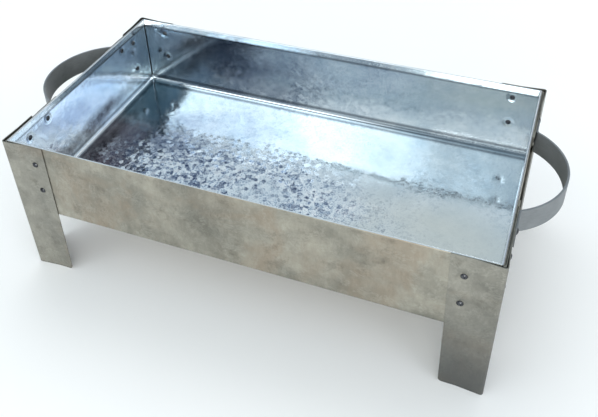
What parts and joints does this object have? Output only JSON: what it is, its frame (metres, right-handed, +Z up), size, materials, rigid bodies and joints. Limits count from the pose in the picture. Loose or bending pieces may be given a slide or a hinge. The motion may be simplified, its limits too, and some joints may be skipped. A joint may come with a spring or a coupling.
{
  "type": "footed sheet-metal tray",
  "caption": "Shallow rectangular galvanised-steel pan with hemmed rim and folded corners, standing on riveted angle legs, with a bowed strap handle at each end.",
  "frame": {"origin": "on the ground under the middle of the tray", "axes": "+X along the length towards the right handle, +Y across to the back wall, +Z up"},
  "size_m": [0.581, 0.277, 0.1745],
  "materials": {
    "galvanised_pan": "spangled, glossy",
    "galvanised_leg": "spangled, dull",
    "steel_strap": "matte",
    "rivet_metal": "satin"
  },
  "bodies": {
    "root": {"handle_left": "steel_strap", "handle_right": "steel_strap", "leg_back_left": "galvanised_leg", "leg_back_right": "galvanised_leg", "leg_front_left": "galvanised_leg", "leg_front_right": "galvanised_leg", "pan": "galvanised_pan", "rivet_back_left_end_lower": "rivet_metal", "rivet_back_left_end_upper": "rivet_metal", "rivet_back_left_side_lower": "rivet_metal", "rivet_back_left_side_upper": "rivet_metal", "rivet_back_right_end_lower": "rivet_metal", "rivet_back_right_end_upper": "rivet_metal", "rivet_back_right_side_lower": "rivet_metal", "rivet_back_right_side_upper": "rivet_metal", "rivet_front_left_end_lower": "rivet_metal", "rivet_front_left_end_upper": "rivet_metal", "rivet_front_left_side_lower": "rivet_metal", "rivet_front_left_side_upper": "rivet_metal", "rivet_front_right_end_lower": "rivet_metal", "rivet_front_right_end_upper": "rivet_metal", "rivet_front_right_side_lower": "rivet_metal", "rivet_front_right_side_upper": "rivet_metal", "rivet_handle_left_back": "rivet_metal", "rivet_handle_left_front": "rivet_metal", "rivet_handle_right_back": "rivet_metal", "rivet_handle_right_front": "rivet_metal"}
  },
  "joints": []
}
